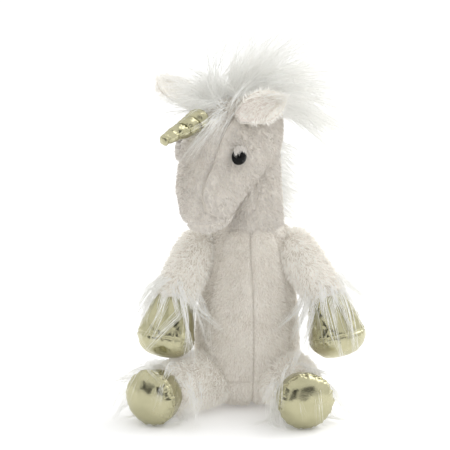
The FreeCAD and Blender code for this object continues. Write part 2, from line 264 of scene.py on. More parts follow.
def blades(name, root, direction, tip_pull, length, width, slots, rng, normal):
    """Short tapered tufts of pile, five points each, that turn their flat side outwards."""
    n = len(root)
    length = np.broadcast_to(length, n)[:, None]
    width = np.broadcast_to(width, n)[:, None]
    side = unit(np.cross(direction, normal) + np.cross(direction, rng.normal(size=(n, 3))) * 0.25)
    mid = root + direction * length * 0.55
    tip = mid + unit(direction + tip_pull) * length * 0.5
    low = root - direction * 0.4
    verts = np.stack([low - side * width * 0.5, low + side * width * 0.5,
                      mid - side * width * 0.42, mid + side * width * 0.42, tip], 1)
    verts[..., 2] = np.maximum(verts[..., 2], FIBRE_FLOOR)
    base = (np.arange(n) * 5)[:, None]
    quads = base + np.array([0, 1, 3, 2])
    tips = base + np.array([2, 3, 4])
    pick = rng.integers(0, len(slots), n)
    return make_mesh(name, verts.reshape(-1, 3), [quads, tips], slots, np.concatenate([pick, pick]))


def strands(name, paths, width, slots, rng):
    """Long hairs as thin three-sided tapered tubes along paths of shape (hairs, points, 3)."""
    n, m = paths.shape[:2]
    width = np.broadcast_to(width, n)[:, None]
    tangent = unit(np.gradient(paths, axis=1))
    side = unit(np.cross(tangent, rng.normal(size=(n, 1, 3))))
    other = np.cross(tangent, side)
    t = np.linspace(0.0, 1.0, m)
    taper = np.clip(1.0 - t**2.2, 0.0, 1.0)
    r = (width * taper)[..., None] * 0.5
    rings = []
    for k in range(3):
        a = 2.0 * math.pi * k / 3.0
        rings.append(paths + (side * math.cos(a) + other * math.sin(a)) * r)
    verts = np.stack(rings, 2)
    verts[:, -1] = paths[:, -1][:, None]
    verts[..., 2] = np.maximum(verts[..., 2], FIBRE_FLOOR)
    base = (np.arange(n) * m * 3)[:, None, None, None]
    row = (np.arange(m - 1) * 3)[None, :, None, None]
    quad = np.array([[0, 1, 4, 3], [1, 2, 5, 4], [2, 0, 3, 5]])[None, None]
    quads = (base + row + quad).reshape(-1, 4)
    pick = np.repeat(rng.integers(0, len(slots), n), (m - 1) * 3)
    return make_mesh(name, verts.reshape(-1, 3), [quads], slots, pick)


# ---------------------------------------------------------------- materials

def new_material(name, colour, roughness, metallic=0.0, sheen=0.0, specular=0.5):
    material = bpy.data.materials.new(name)
    material.use_nodes = True
    shader = material.node_tree.nodes["Principled BSDF"]
    shader.inputs["Base Color"].default_value = (*colour, 1.0)
    shader.inputs["Roughness"].default_value = roughness
    shader.inputs["Metallic"].default_value = metallic
    shader.inputs["Sheen Weight"].default_value = sheen
    shader.inputs["Sheen Roughness"].default_value = 0.5
    shader.inputs["Specular IOR Level"].default_value = specular
    return material, material.node_tree, shader


def add_node(tree, kind, **values):
    node = tree.nodes.new(kind)
    for key, value in values.items():
        if key in node.inputs:
            node.inputs[key].default_value = value
        else:
            setattr(node, key, value)
    return node


def link(tree, source, output, target, entry):
    tree.links.new(source.outputs[output], target.inputs[entry])


def mottle(tree, place, shader, low, high, ends, **values):
    """Colour that drifts between two tones."""
    cloud = add_node(tree, "ShaderNodeTexNoise", **values)
    ramp = add_node(tree, "ShaderNodeValToRGB")
    for element, colour, position in zip(ramp.color_ramp.elements, (low, high), ends):
        element.color = (*colour, 1.0)
        element.position = position
    link(tree, place, "Object", cloud, "Vector")
    link(tree, cloud, "Fac", ramp, "Fac")
    link(tree, ramp, "Color", shader, "Base Color")
    return cloud


def cloth_material(name, low, high):
    """Backing cloth under the pile: mottled colour and a knitted bump."""
    material, tree, shader = new_material(name, high, 0.9, sheen=0.3, specular=0.2)
    place = add_node(tree, "ShaderNodeTexCoord")
    mottle(tree, place, shader, low, high, (0.35, 0.65), Scale=78.0, Detail=4.0)
    knit = add_node(tree, "ShaderNodeTexNoise", Scale=1040.0, Detail=3.0)
    bump = add_node(tree, "ShaderNodeBump", Strength=0.6, Distance=0.0004)
    link(tree, place, "Object", knit, "Vector")
    link(tree, knit, "Fac", bump, "Height")
    link(tree, bump, "Normal", shader, "Normal")
    return material


def gold_material():
    """Crinkled metallic cloth."""
    material, tree, shader = new_material("gold_lame", (0.55, 0.52, 0.33), 0.22, metallic=1.0)
    place = add_node(tree, "ShaderNodeTexCoord")
    low, high = (0.36, 0.345, 0.21), (0.60, 0.57, 0.385)
    cloud = mottle(tree, place, shader, low, high, (0.0, 1.0), Scale=55.0, Detail=3.0)
    rough = add_node(tree, "ShaderNodeMapRange",
                     **{"From Min": 0.3, "From Max": 0.7, "To Min": 0.16, "To Max": 0.32})
    crumple = add_node(tree, "ShaderNodeTexNoise", Scale=240.0, Detail=5.0, Roughness=0.6)
    grain = add_node(tree, "ShaderNodeTexVoronoi", Scale=1500.0)
    bump = add_node(tree, "ShaderNodeBump", Strength=0.25, Distance=0.0006)
    fine = add_node(tree, "ShaderNodeBump", Strength=0.08, Distance=0.0002)
    link(tree, place, "Object", crumple, "Vector")
    link(tree, place, "Object", grain, "Vector")
    link(tree, cloud, "Fac", rough, "Value")
    link(tree, rough, "Result", shader, "Roughness")
    link(tree, crumple, "Fac", bump, "Height")
    link(tree, grain, "Distance", fine, "Height")
    link(tree, fine, "Normal", bump, "Normal")
    link(tree, bump, "Normal", shader, "Normal")
    return material


def fibre(name, colour, roughness=0.85, sheen=0.4, specular=0.2):
    return new_material(name, colour, roughness, sheen=sheen, specular=specular)[0]


PILE = [
    fibre("pile_white", (0.885, 0.85, 0.79)),
    fibre("pile_warm", (0.865, 0.825, 0.765)),
    fibre("pile_pale", (0.905, 0.88, 0.825)),
]
# Head and neck pile: the body's pile painted a shade darker, as painted shade on the head and neck.
SHADED_HEAD_PILE = [
    fibre("shaded_head_pile_white", (0.80, 0.765, 0.715)),
    fibre("shaded_head_pile_warm", (0.775, 0.735, 0.685)),
    fibre("shaded_head_pile_pale", (0.825, 0.795, 0.75)),
]
FLUFF = [
    fibre("fluff_white", (0.94, 0.92, 0.875), 0.8),
    fibre("fluff_warm", (0.92, 0.895, 0.845), 0.8),
    fibre("fluff_pale", (0.96, 0.945, 0.90), 0.8),
]
HAIR = [
    fibre("hair_white", (0.97, 0.97, 0.945), 0.45, 0.2, 0.4),
    fibre("hair_pale", (0.96, 0.965, 0.93), 0.5, 0.2, 0.4),
    fibre("hair_warm", (0.95, 0.935, 0.89), 0.5, 0.2, 0.4),
]
LINING_PILE = [
    fibre("lining_pink", (0.88, 0.81, 0.75)),
    fibre("lining_pale", (0.90, 0.85, 0.79)),
]
CLOTH = cloth_material("plush_backing", (0.78, 0.73, 0.66), (0.86, 0.82, 0.75))
LINING = cloth_material("lining_backing", (0.80, 0.73, 0.67), (0.86, 0.80, 0.74))
GOLD = gold_material()
EYE = new_material("black_eye", (0.003, 0.003, 0.003), 0.14, specular=0.12)[0]


def lighten(materials, colour, strength):
    """A weak glow. On fibres it stands in for the light that passes from one to the next."""
    for material in materials:
        shader = material.node_tree.nodes["Principled BSDF"]
        shader.inputs["Emission Color"].default_value = (*colour, 1.0)
        shader.inputs["Emission Strength"].default_value = strength


lighten(HAIR, (1.0, 1.0, 0.97), 0.10)
lighten(FLUFF, (1.0, 0.97, 0.92), 0.09)
lighten(PILE, (1.0, 0.95, 0.88), 0.05)
# The head and neck pile glows less than the body's pile: more painted shade.
lighten(SHADED_HEAD_PILE, (1.0, 0.95, 0.88), 0.02)


# ---------------------------------------------------------------- soft forms

CLOTH_PRESSURE = 4.0
CLOTH_FRAMES = 20


def puff(obj, cap, voxel):
    """Blows a stuffed form up with the cloth solver, holds it near its pattern and smooths it."""
    bpy.context.view_layer.objects.active = obj
    remesh = obj.modifiers.new("remesh", "REMESH")
    remesh.mode = "VOXEL"
    remesh.voxel_size = voxel * MM
    remesh.use_smooth_shade = True
    bpy.ops.object.modifier_apply(modifier=remesh.name)
    before = points_of(obj.data)
    cloth = obj.modifiers.new("cloth", "CLOTH")
    cloth.settings.use_pressure = True
    cloth.settings.uniform_pressure_force = CLOTH_PRESSURE
    cloth.settings.effector_weights.gravity = 0.0
    cloth.settings.quality = 5
    cloth.settings.mass = 0.3
    cloth.point_cache.frame_start = 1
    cloth.point_cache.frame_end = CLOTH_FRAMES
    for step in range(1, CLOTH_FRAMES + 1):
        bpy.context.scene.frame_set(step)
    bpy.ops.object.modifier_apply(modifier=cloth.name)
    move = points_of(obj.data) - before
    reach = np.linalg.norm(move, axis=1, keepdims=True)
    move = move * np.minimum(1.0, cap * MM / np.maximum(reach, 1e-9))
    move_points(obj, before + move)
    bpy.context.scene.frame_set(1)
    sub = obj.modifiers.new("sub", "SUBSURF")
    sub.levels = 1
    sub.render_levels = 1
    bpy.ops.object.modifier_apply(modifier=sub.name)
    obj.data.update()


def groove(obj, distance, depth, width):
    """Draws the surface in along a seam; distance(points) is how far each point is from it, in mm."""
    surface = Surface(obj)
    pull = np.exp(-(distance(surface.co) / width) ** 2) * depth
    move_points(obj, (surface.co - surface.nor * pull[:, None]) * MM)


TUFT_SWIRL = 0.33
TUFT_STRAY = 0.165


def pile(name, body, surface, seed, per_mm2, length, width, comb, keep=None, lift=0.6, slots=None,
         clump=5.0, swirl_by=0.45):
    """Short pile on a surface. comb(points) is the way it lies and keep(points) scales its length.

    Without a body, it is attached to none.
    """
    rng = np.random.default_rng(seed)
    point, normal = surface.scatter(rng, per_mm2)
    if keep is not None:
        scale = keep(point)
        use = scale > rng.random(len(point)) * 0.15 + 0.02
        point, normal, scale = point[use], normal[use], scale[use]
    else:
        scale = np.ones(len(point))
    flow = comb(point)
    flow = flow - normal * (flow * normal).sum(1, keepdims=True)
    swirl = (noise(point + seed * 3.1, clump) * 0.9 + noise(point, clump * 3.0) * 0.5) * swirl_by
    direction = unit(normal * lift + flow * (1.0 - lift) + swirl * TUFT_SWIRL
                     + rng.normal(size=point.shape) * TUFT_STRAY)
    dip = (direction * normal).sum(1, keepdims=True)
    direction = unit(direction + normal * np.maximum(0.0, 0.15 - dip))
    size = length * scale * rng.uniform(0.7, 1.2, len(point))
    pull = flow * 0.4 + swirl * 0.3 - UP * 0.1
    obj = blades(name, point, direction, pull, size, width * rng.uniform(0.7, 1.3, len(point)),
                 slots or PILE, rng, normal)
    if body is not None:
        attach(obj, body)
    return obj


def skin(name, body, grid, nodes, swell=2.0, voxel=4.5, floor=None):
    """A stuffed piece of backing cloth that stands for CAD nodes. Without a body, it is attached to none."""
    obj = make_mesh(name, *grid, slots=[CLOTH])
    puff(obj, swell, voxel)
    if floor is not None:
        co = points_of(obj.data)
        co[:, 2] = np.maximum(co[:, 2], floor * MM)
        move_points(obj, co)
    if body is not None:
        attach(obj, body)
    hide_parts(*nodes)
    return obj


INSET = 3.2


def shrink_levels(levels):
    """The outline before it is stuffed: it starts smaller, to make room for the swell and the pile."""
    rows = np.array(levels, float)
    rows[:, 3:] = np.maximum(rows[:, 3:] - INSET, 0.5)
    return rows


# ---------------------------------------------------------------- torso and neck

neck_foot = pivot("neck_turn")
TORSO = [
    # x, y, z of the middle, half width, half depth
    (0.0, 9.0, 2.5, 6.0, 6.0),
    (0.0, 8.6, 2.6, 24.0, 22.0),
    (0.0, 8.0, 4.5, 34.0, 31.0),
    (0.0, 5.0, 12.0, 38.5, 35.5),
    (0.0, 2.0, 25.0, 41.5, 38.0),
    (0.0, 0.5, 42.0, 42.7, 39.0),
    (0.0, 0.5, 58.0, 42.0, 39.0),
    (0.5, 1.0, 75.0, 40.5, 38.0),
    (1.2, 1.5, 92.0, 38.0, 36.0),
    (2.0, 2.2, 108.0, 36.0, 33.5),
    (2.4, 3.0, 122.0, 34.5, 31.0),
    (2.6, 3.0, 134.0, 32.5, 29.0),
    (3.4, 3.0, 142.0, 27.0, 25.5),
    (4.0, 3.0, 147.0, 14.0, 14.0),
    (4.0, 3.0, 148.0, 4.0, 4.0),
]
torso = skin("torso_skin", "torso", level_grid(shrink_levels(TORSO), X, Y, 60),
             ["front_panel_left", "front_panel_right", "back_panel_left", "back_panel_right",
              "seat_panel", "body_filling", "pellet_bag"], floor=0.8)
FRONT_SEAM = 3.5
FAR = 99.0  # stands for a seam that isn't on this side


def belly_line(z):
    return FRONT_SEAM + 1.5 * np.sin(z * 0.03)


def front_seams(p):
    """Distance from the seams of the torso: belly, sides, back and seat."""
    front = np.where(p[:, 1] < 0.0, np.abs(p[:, 0] - belly_line(p[:, 2])), FAR)
    beside = np.abs(p[:, 1] + 19.0 - (p[:, 2] - 60.0) * 0.05)
    back = np.where(p[:, 1] > 0.0, np.abs(p[:, 0] - FRONT_SEAM), FAR)
    seat = np.abs(p[:, 2] - 16.0 + 0.3 * p[:, 1])
    return np.minimum(np.minimum(front, beside), np.minimum(back, seat))


groove(torso, front_seams, 2.0, 1.8)
NECK = [
    (4.0, 3.0, 122.0, 8.0, 8.0),
    (4.0, 3.0, 124.0, 20.0, 20.0),
    (4.0, 3.0, 130.0, 25.6, 25.6),
    (4.0, 3.0, 140.0, 26.4, 26.4),
    (3.8, 3.2, 155.0, 25.4, 25.4),
    (3.5, 3.4, 172.0, 24.6, 24.6),
    (3.2, 3.6, 190.0, 24.0, 24.0),
    (3.0, 3.6, 203.0, 23.4, 23.4),
    (3.0, 3.6, 215.0, 19.0, 19.0),
    (3.0, 3.6, 221.0, 11.0, 11.0),
    (3.0, 3.6, 222.0, 3.0, 3.0),
]
neck = skin("neck_skin", None, level_grid(shrink_levels(NECK), X, Y, 40),
            ["neck_cover_left", "neck_cover_right", "neck_filling"])


def neck_seams(p):
    """Distance from the seam down the throat and the one down the back of the neck."""
    return np.abs(p[:, 0] - FRONT_SEAM - 4.0 * (p[:, 1] < 0.0) + 0.06 * (p[:, 2] - 140.0))


groove(neck, neck_seams, 1.4, 1.6)


def across_neck(obj):
    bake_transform(obj)


across_neck(neck)

# ---------------------------------------------------------------- head

HEAD_MIDDLE = np.array([-11.0, -12.0, 0.0])
HEAD = [
    # height, how far forward the middle is, half length, half width
    (143.5, 27.0, 4.0, 3.5),
    (144.3, 27.5, 11.5, 9.5),
    (147.2, 28.0, 19.0, 14.5),
    (153.0, 28.5, 24.0, 18.5),
    (162.0, 27.0, 27.9, 21.5),
    (173.0, 22.5, 34.6, 25.0),
    (185.0, 14.3, 41.2, 29.0),
    (198.0, 3.5, 47.5, 32.0),
    (214.0, 0.0, 48.0, 32.5),
    (228.0, -4.0, 43.5, 29.5),
    (238.0, -8.0, 32.0, 22.0),
    (243.0, -11.0, 17.0, 12.0),
    (244.5, -12.0, 5.0, 4.0),
]


def head_at(forward, sideways, height):
    return HEAD_MIDDLE + FORWARD * forward + SIDEWAYS * sideways + UP * height


def head_levels():
    rows = []
    for z, f, depth, width in HEAD:
        x, y, _ = head_at(f, 0.0, z)
        rows.append((x, y, z, depth, width))
    return shrink_levels(rows)


def head_axes(p):
    """Forward, sideways and height of points, in the head's own directions."""
    q = p - HEAD_MIDDLE
    return q @ FORWARD, q @ SIDEWAYS, q[:, 2]


head = skin("head_skin", "head", level_grid(head_levels(), FORWARD, np.cross(UP, FORWARD), 56),
            ["head_side_left", "head_side_right", "head_gusset", "chin_panel", "head_filling"])


CHIN_SEAM = 151.0


def gusset_half(z):
    """Half width of the gusset: broad over the forehead, narrow at the nose, broad at the chin."""
    return np.interp(z, [150.0, 155.0, 161.0, 173.0, 188.0, 197.0, 212.0, 232.0],
                     [20.0, 16.0, 12.8, 11.5, 14.0, 16.0, 18.0, 19.0])


def head_seams(p):
    """Distance from the edges of the gusset, down the forehead and the nose, and from the chin seam."""
    f, w, z = head_axes(p)
    half = gusset_half(z)
    side = np.where((f > 8.0) & (z > CHIN_SEAM), np.abs(np.abs(w) - half), FAR)
    chin = np.where((f > 24.0) & (np.abs(w) < half + 2.0), np.abs(z - CHIN_SEAM), FAR)
    return np.minimum(side, chin)


groove(head, head_seams, 2.2, 1.6)
# The seam lines are painted shade: coloured darker than the cloth, as the shaded grooves look.
SEAM_SHADE = new_material("seam_shade_line", (0.70, 0.655, 0.59), 0.9, specular=0.1)[0]


def seam_shade_line(name, body, cloth, starts, way, radius=0.5):
    """A thin ridge in the groove of a seam, darker than the cloth as painted shade, found by looking
    outwards from inside the form.
    """
    points = []
    for start in starts:
        hit, place, normal, _ = cloth.ray_cast(start * MM, way)
        if hit:
            points.append(np.array(place) + np.array(normal) * 0.2 * MM)
    obj = wire(name, points, radius, 2, SEAM_SHADE)
    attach(obj, body)


# Dark lines of painted shade along the gusset, chin and belly seams.
rise = np.arange(CHIN_SEAM + 0.5, 232.0, 1.5)
for side, sign in SIDES.items():
    seam_shade_line("gusset_seam_shade_" + side, "head", head,
              [head_at(10.0, sign * gusset_half(z), z) for z in rise], FORWARD)
seam_shade_line("chin_seam_shade", "head", head,
          [head_at(20.0, w, CHIN_SEAM) for w in np.arange(-15.0, 15.1, 1.0)], FORWARD)
seam_shade_line("belly_seam_shade", "torso", torso,
          [np.array([belly_line(z), 0.0, z]) for z in np.arange(6.0, 138.0, 2.0)], -Y, 0.4)

# ---------------------------------------------------------------- arms and legs

WRIST = {"left": np.array([-18.0, -22.0, -34.0]), "right": np.array([25.0, -21.0, -33.0])}
HOOF_TIP = {"left": np.array([-26.8, -31.9, -76.8]), "right": np.array([35.8, -30.7, -76.8])}
ANKLE = {"left": np.array([-31.0, -30.5, -1.1]), "right": np.array([9.5, -37.0, -1.1])}
ARM = {}
LEG = {}
for side in SIDES:
    shoulder = pivot("arm_swing_" + side)
    wrist = shoulder + WRIST[side]
    sole = shoulder + HOOF_TIP[side]
    ARM[side] = (shoulder, wrist, sole)
    reach = unit(wrist - shoulder)
    drop = unit(sole - wrist)
    span = np.linalg.norm(wrist - shoulder)
    points = [shoulder - reach * 13.0, shoulder - reach * 11.5, shoulder - reach * 7.0, shoulder,
              shoulder + reach * span * 0.35, shoulder + reach * span * 0.7, wrist - reach * 2.0,
              wrist + drop * 5.0, wrist + drop * 10.0, wrist + drop * 11.0]
    radii = [3.0, 8.0, 12.5, 14.6, 15.0, 14.4, 13.2, 11.5, 8.0, 2.0]
    skin("arm_skin_" + side, "arm_" + side, limb_grid(points, radii),
         ["arm_cover_" + side, "arm_filling_" + side], swell=1.8, voxel=4.0)
    hip = pivot("leg_swing_" + side)
    foot = middle_of("leg_hoof_sole_" + side)
    ankle = hip + ANKLE[side]
    reach = unit(ankle - hip)
    turn = unit(foot - ankle)
    LEG[side] = (hip, ankle, foot)
    points = [hip - reach * 19.0, hip - reach * 17.5, hip - reach * 11.0, hip,
              (hip + ankle) * 0.5, ankle - reach * 2.0, ankle + turn * 8.0,
              ankle + turn * 14.0, ankle + turn * 15.0]
    radii = [4.0, 11.0, 17.5, 20.4, 20.0, 17.6, 14.5, 10.0, 2.0]
    skin("leg_skin_" + side, "leg_" + side, limb_grid(points, radii),
         ["leg_cover_" + side, "leg_filling_" + side], swell=1.8, voxel=4.0, floor=1.2)


def round_form(base, axis, rows, count, around, crumple, pucker, seam, seed, folds=0.0):
    """A round form along an axis with crumpled cloth and puckers each side of a seam."""
    rows = spline(rows, count)
    axis = unit(axis)
    across, along = side_axes(axis)
    t, r = rows[:, 0], np.maximum(rows[:, 1], 0.02)
    n = len(t)
    verts, faces = tube_grid(base + axis * t[:, None], np.tile(across, (n, 1)), np.tile(along, (n, 1)),
                             r, r, around)
    up_along, out, angle = around_axis(verts, base, axis)
    near = np.exp(-((up_along - seam) / 3.6) ** 2)
    wave = np.sin(angle * 23.0 + 2.0 * np.sin(angle * 3.0 + seed)) * 0.6 + np.sin(angle * 41.0 + seed) * 0.4
    edge = np.exp(-((up_along - seam) / 0.75) ** 2)
    push = noise(verts + seed * 7.0, 7.0)[:, 0] * crumple + noise(verts + seed, 3.0)[:, 1] * crumple * 0.45
    push = push + wave * near * pucker - edge * 0.7
    fold = np.sin(angle * 5.0 + 1.3 * np.sin(angle * 2.0 + seed) + up_along * 0.05 + seed * 2.0)
    push = push + np.maximum(fold, 0.0) ** 3 * folds * np.clip((seam - 2.0 - up_along) / 8.0, 0.0, 1.0)
    verts = verts + out * push[:, None] + axis * (noise(verts, 6.0)[:, 2] * crumple * 0.6)[:, None]
    verts = verts + axis * (wave * near * pucker * 0.35)[:, None]
    verts[:, 2] = np.maximum(verts[:, 2], 0.2)
    return verts, faces


def gold_piece(name, body, grid, nodes):
    obj = make_mesh(name, *grid, slots=[GOLD])
    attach(obj, body)
    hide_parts(*nodes)
    return obj


for seed, side in enumerate(SIDES):
    _, wrist, sole = ARM[side]
    axis = unit(sole - wrist)
    length = np.linalg.norm(sole - wrist)
    rows = [(-3.0, 8.0), (-2.0, 11.0), (4.0, 14.6), (length * 0.25, 17.2), (length * 0.42, 19.6),
            (length * 0.56, 21.2), (length * 0.65, 21.6), (length * 0.75, 20.8), (length * 0.86, 18.0),
            (length * 0.95, 12.6), (length * 0.99, 6.5), (length * 1.0, 0.1)]
    gold_piece("arm_hoof_" + side, "arm_" + side,
               round_form(wrist, axis, rows, 120, 160, 0.6, 0.45, length * 0.64, seed + 1.0, 1.3),
               ["arm_hoof_wall_" + side, "arm_hoof_sole_" + side, "arm_hoof_filling_" + side])
    _, ankle, foot = LEG[side]
    axis = unit(foot - ankle)
    rows = [(-2.0, 10.0), (-1.0, 13.5), (3.0, 17.2), (9.0, 19.4), (15.0, 20.6), (19.0, 21.2),
            (21.5, 21.0), (24.5, 19.4), (27.6, 15.8), (29.8, 10.5), (30.9, 5.2), (31.2, 0.1)]
    gold_piece("leg_hoof_" + side, "leg_" + side,
               round_form(ankle, axis, rows, 120, 160, 0.5, 0.7, 20.6, seed + 5.0),
               ["leg_hoof_wall_" + side, "leg_hoof_sole_" + side, "leg_hoof_filling_" + side])

# ---------------------------------------------------------------- horn

horn_base = pivot("horn_bend")
droop = math.radians(15.0)
horn_axis = FORWARD * math.cos(droop) - UP * math.sin(droop)
HORN_LENGTH = 41.0
HORN_PITCH = 11.0
HORN_FOOT_R = 8.4
HORN_TIP_R = 3.6


def horn_radius(t):
    return HORN_FOOT_R + (HORN_TIP_R - HORN_FOOT_R) * np.clip(t / HORN_LENGTH, 0.0, 1.0)


def horn_groove(t, angle):
    """Distance along the horn from the nearest turn of the thread."""
    turn = t / HORN_PITCH - angle / (2.0 * math.pi)
    return np.abs(turn - np.round(turn)) * HORN_PITCH


def build_horn():
    rows = [(-5.0, 3.0), (-4.0, 6.5), (0.0, 8.4), (12.0, 7.0), (24.0, 5.6), (36.0, 4.2), (39.5, 3.9),
            (41.0, 3.0), (41.4, 1.5), (41.5, 0.1)]
    verts, faces = round_form(horn_base, horn_axis, rows, 120, 96, 0.0, 0.0, 99.0, 3.0)
    t, out, angle = around_axis(verts, horn_base, horn_axis)
    d = horn_groove(t, angle)
    size = horn_radius(t) / HORN_FOOT_R
    push = -2.0 * np.exp(-((d / 1.6) ** 2)) * size + 0.6 * size
    push = push + noise(verts, 3.2)[:, 0] * 0.6 + noise(verts, 1.6)[:, 1] * 0.3
    push = push + np.sin(angle * 13.0 + t) * 0.22 * np.exp(-((d / 3.0) ** 2))
    push = push * np.clip((HORN_LENGTH + 0.4 - t) / 2.0, 0.2, 1.0)
    verts = verts + out * push[:, None]
    tip = np.clip((t - 35.0) / 6.0, 0.0, 1.0)
    verts = verts + noise(verts + 5.0, 2.6) * tip[:, None] * 0.9
    gold_piece("horn", "horn", (verts, faces), ["horn_cover", "horn_filling"])
    t = np.linspace(0.10, 0.93, 260) * HORN_LENGTH
    a = 2.0 * math.pi * t / HORN_PITCH
    r = horn_radius(t) * (1.0 - 0.95 / HORN_FOOT_R)
    across, along = side_axes(horn_axis)
    ring = across * np.cos(a)[:, None] + along * np.sin(a)[:, None]
    path = horn_base + horn_axis * t[:, None] + ring * r[:, None]
    thread = wire("horn_winding", path * MM, 0.32, 3, GOLD)
    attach(thread, "horn")
    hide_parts("horn_thread")


build_horn()

# ---------------------------------------------------------------- ears

EAR_LENGTH = 42.0
EAR_FLUFF = {"left": 7.5, "right": 5.0}
EARS = {
    # tip, and the way the lining faces
    "left": (head_at(14.0, -60.0, 250.0), np.array([0.25, -0.8, 0.55])),
    "right": (head_at(-15.0, 39.5, 243.0), np.array([0.35, -0.85, 0.4])),
}


def ear_surface(side, offset, size):
    """A cupped leaf, so far in front of the ear's middle surface, and its rows and columns."""
    root = pivot("ear_fold_" + side)
    tip, face = EARS[side]
    length = unit(tip - root)
    across = unit(np.cross(face, length))
    normal = np.cross(length, across)
    u = np.linspace(-0.06, 1.0, 40)
    v = np.linspace(-1.0, 1.0, 31)
    half = np.interp(u, [-0.06, 0.0, 0.12, 0.28, 0.5, 0.72, 0.88, 0.96, 1.0],
                     [4.5, 6.0, 9.0, 11.4, 11.6, 9.0, 5.2, 2.6, 0.2]) * size
    uu, vv = np.meshgrid(u, v, indexing="ij")
    w = vv * half[:, None]
    lift = w**2 / (2.0 * 13.0) + offset * (1.0 - np.abs(vv) ** 6 * 0.75)
    fold = 1.6 * np.exp(-(((uu - 0.1) / 0.12) ** 2)) * np.cos(vv * 2.2)
    lift = lift - fold - 2.2 * uu**2
    p = root + length * (uu * EAR_LENGTH * size)[..., None]
    p = p + across * w[..., None] + normal * lift[..., None]
    return p.reshape(-1, 3), uu.shape


def grid_faces(shape, flip=False):
    i, j = np.meshgrid(np.arange(shape[0] - 1), np.arange(shape[1] - 1), indexing="ij")
    a = i * shape[1] + j
    quads = np.stack([a, a + 1, a + shape[1] + 1, a + shape[1]], -1).reshape(-1, 4)
    return quads[:, ::-1] if flip else quads


EAR_SKIN = {}
for side in SIDES:
    outer, shape = ear_surface(side, -1.2, 1.0)
    inner, _ = ear_surface(side, 0.2, 1.0)
    pad = make_mesh("ear_outer_skin_" + side, np.vstack([outer, inner]),
                    [np.vstack([grid_faces(shape, True), grid_faces(shape) + len(outer)])], slots=[CLOTH])
    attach(pad, "ear_" + side)
    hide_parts("ear_outer_" + side)
    front, shape = ear_surface(side, 1.3, 0.74)
    lining = make_mesh("ear_lining_skin_" + side, front, [grid_faces(shape)], slots=[LINING])
    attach(lining, "ear_" + side)
    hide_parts("ear_lining_" + side)
    EAR_SKIN[side] = (pad, lining)

# ---------------------------------------------------------------- eyes and washers

for side in SIDES:
    frame["nodes"]["eye_" + side].data.materials.clear()
    frame["nodes"]["eye_" + side].data.materials.append(EYE)
    washer = frame["nodes"]["eye_washer_" + side]
    washer.data.materials.clear()
    washer.data.materials.append(new_material("washer_" + side, (0.85, 0.85, 0.84), 0.5)[0])

# ---------------------------------------------------------------- pile

DENSITY = 1.5
PILE_LENGTH = 2.8
HEAD_PILE_LENGTH = 2.6
FLUFF_LENGTH = 5.6
TUFT_WIDTH = 0.5
EYE_FORWARD, EYE_SIDE, EYE_HEIGHT = 24.8, 28.3, 200.6


def down(p):
    return np.tile(-UP, (len(p), 1))


def outside_limbs(p):
    """Pile fades out where the arms and legs are sewn on."""
    scale = np.ones(len(p))
    for side in SIDES:
        for joint, radius in (("arm_swing_", 14.0), ("leg_swing_", 20.0)):
            d = np.linalg.norm(p - pivot(joint + side), axis=1)
            scale = scale * np.clip((d - radius) / 4.0, 0.0, 1.0)
    return scale


def torso_keep(p):
    seam = np.clip(front_seams(p) / 2.0, 0.15, 1.0)
    return seam * outside_limbs(p) * (p[:, 2] > 1.2) * (p[:, 2] < 139.0)


def torso_comb(p):
    flow = down(p)
    flow[:, 0] += 0.5 * np.sign(p[:, 0] - FRONT_SEAM) * np.exp(-np.abs(p[:, 0] - FRONT_SEAM) / 3.0)
    return flow


pile("torso_pile", "torso", Surface(torso), 1, DENSITY, PILE_LENGTH, TUFT_WIDTH, torso_comb, torso_keep)


def neck_keep(p):
    seam = np.clip(neck_seams(p) / 2.0, 0.2, 1.0)
    return seam * (p[:, 2] > 131.0) * np.clip((212.0 - p[:, 2]) / 6.0, 0.0, 1.0)


# The neck takes the head's darker pile colours, painted shade.
across_neck(pile("neck_pile", None, Surface(neck), 2, DENSITY, PILE_LENGTH, TUFT_WIDTH, down,
                 neck_keep, slots=SHADED_HEAD_PILE))


def head_comb(p):
    w = head_axes(p)[1]
    flow = down(p) * 0.8 + FORWARD * 0.1
    flow = flow + SIDEWAYS * (np.sign(w) * np.clip(np.abs(w) / 20.0, 0.0, 1.0) * 0.3)[:, None]
    return flow


def head_keep(p):
    scale = np.clip(head_seams(p) / 1.9, 0.12, 1.0)
    for sign in SIDES.values():
        eye = head_at(EYE_FORWARD, EYE_SIDE * sign, EYE_HEIGHT)
        scale = scale * np.clip((np.linalg.norm(p - eye, axis=1) - 4.6) / 1.5, 0.0, 1.0)
    scale = scale * np.clip((np.linalg.norm(p - horn_base, axis=1) - 7.0) / 3.0, 0.0, 1.0)
    return scale


# The head's pile takes the darker colours, painted shade.
pile("head_pile", "head", Surface(head), 3, DENSITY, HEAD_PILE_LENGTH, TUFT_WIDTH, head_comb, head_keep,
     slots=SHADED_HEAD_PILE)


def eye_tufts(name, seed, count, sign, angles, ring, size, width, aims):
    """Tufts rooted in an arc round an eye. aims(look, level) is where they start, aim, bend and face."""
    rng = np.random.default_rng(seed)
    look = FORWARD * 0.29 + SIDEWAYS * 0.95 * sign
    level = unit(np.cross(UP, look))
    middle, aim, pull, face = aims(look, level)
    a = rng.uniform(math.radians(angles[0]), math.radians(angles[1]), count)
    out = level * np.cos(a)[:, None] + UP * np.sin(a)[:, None]
    root = middle + out * rng.uniform(*ring, count)[:, None]
    root = root + head_at(EYE_FORWARD, EYE_SIDE * sign, EYE_HEIGHT)
    aim = unit(aim + rng.normal(size=(count, 3)) * 0.15)
    tufts = blades(name, root, aim, pull, rng.uniform(*size, count), width, SHADED_HEAD_PILE, rng,
                   np.tile(face, (count, 1)))
    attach(tufts, "head")


